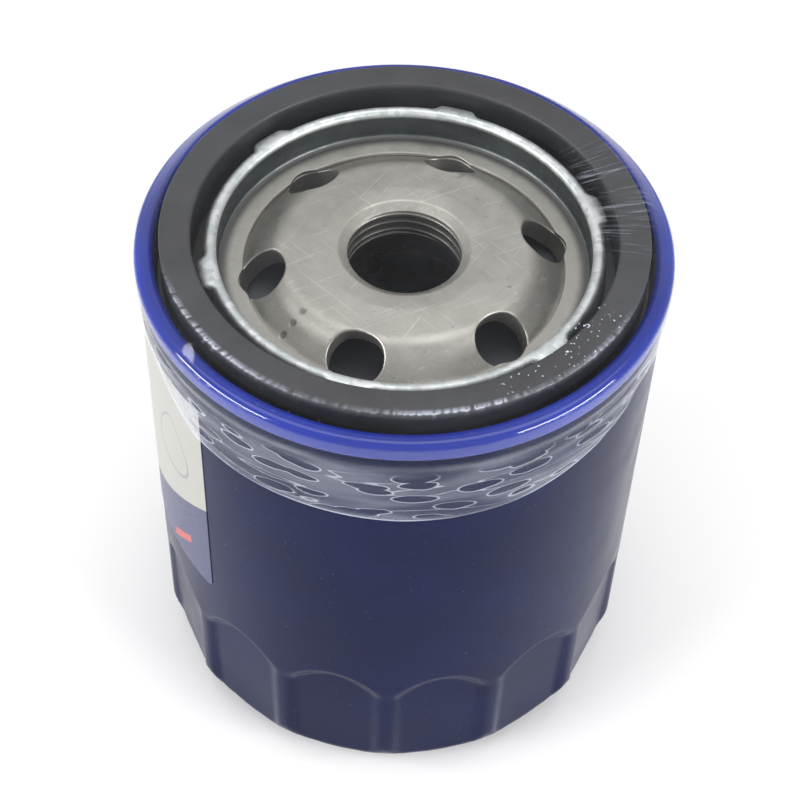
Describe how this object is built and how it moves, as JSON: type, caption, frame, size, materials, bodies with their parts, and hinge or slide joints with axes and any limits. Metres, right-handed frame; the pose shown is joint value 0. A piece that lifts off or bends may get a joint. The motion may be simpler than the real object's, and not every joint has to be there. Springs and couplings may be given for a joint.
{
  "type": "oil filter",
  "caption": "Spin-on engine oil filter: fluted painted can, seamed lid with gasket, threaded base plate, pleated element, bypass valve and a clear wrap.",
  "frame": {"origin": "middle of the closed, fluted end, on the surface the filter stands on", "axes": "+Z along the filter's axis, out of the threaded hole towards the engine; the label is on the -X side"},
  "size_m": [0.0772, 0.0772, 0.0869],
  "materials": {
    "blue_paint": "gloss blue enamel",
    "sealant": "matte",
    "zinc_steel": "satin zinc plate",
    "weld_steel": "heat-dulled",
    "plate_steel": "stamped, oiled",
    "gasket_rubber": "smooth, semi-matte",
    "valve_rubber": "smooth",
    "cap_steel": "tin plate",
    "plastisol": "matte",
    "filter_paper": "matte resin-treated paper",
    "tube_steel": "satin",
    "valve_steel": "satin",
    "spring_steel": "drawn wire",
    "label_print": "semi-gloss print",
    "clear_film": "clear, heat-shrunk"
  },
  "bodies": {
    "housing": {"can": "blue_paint", "seam_sealant": "sealant", "seaming_lid": "zinc_steel", "lid_welds": "weld_steel", "base_plate": "plate_steel", "sealing_gasket": "gasket_rubber", "anti_drainback_valve": "valve_rubber", "element_spring": "spring_steel", "label": "label_print"},
    "cartridge": {"upper_end_cap": "cap_steel", "upper_cap_bond": "plastisol", "pleated_media": "filter_paper", "media_seam_clip": "zinc_steel", "centre_tube": "tube_steel", "lower_cap_bond": "plastisol", "lower_end_cap": "cap_steel", "bypass_housing": "valve_steel", "bypass_retainer": "valve_steel", "bypass_spring": "spring_steel"},
    "bypass_poppet": {"bypass_disc": "valve_steel", "bypass_seal": "valve_rubber"},
    "wrap": {"shrink_wrap": "clear_film"}
  },
  "joints": [
    {"name": "element_float", "type": "slide", "parent": "housing", "child": "cartridge", "axis": [0, 0, -1], "range_m": [0, 0.0015], "stiffness_N_per_m": 9000, "springref_m": -0.003, "deforming": ["element_spring"]},
    {"name": "bypass_open", "type": "slide", "parent": "cartridge", "child": "bypass_poppet", "axis": [0, 0, 1], "range_m": [0, 0.0035], "stiffness_N_per_m": 1500, "springref_m": -0.006, "deforming": ["bypass_spring"]},
    {"name": "wrap_lift", "type": "slide", "parent": "housing", "child": "wrap", "axis": [0, 0, 1], "range_m": [0, 0.06]}
  ]
}
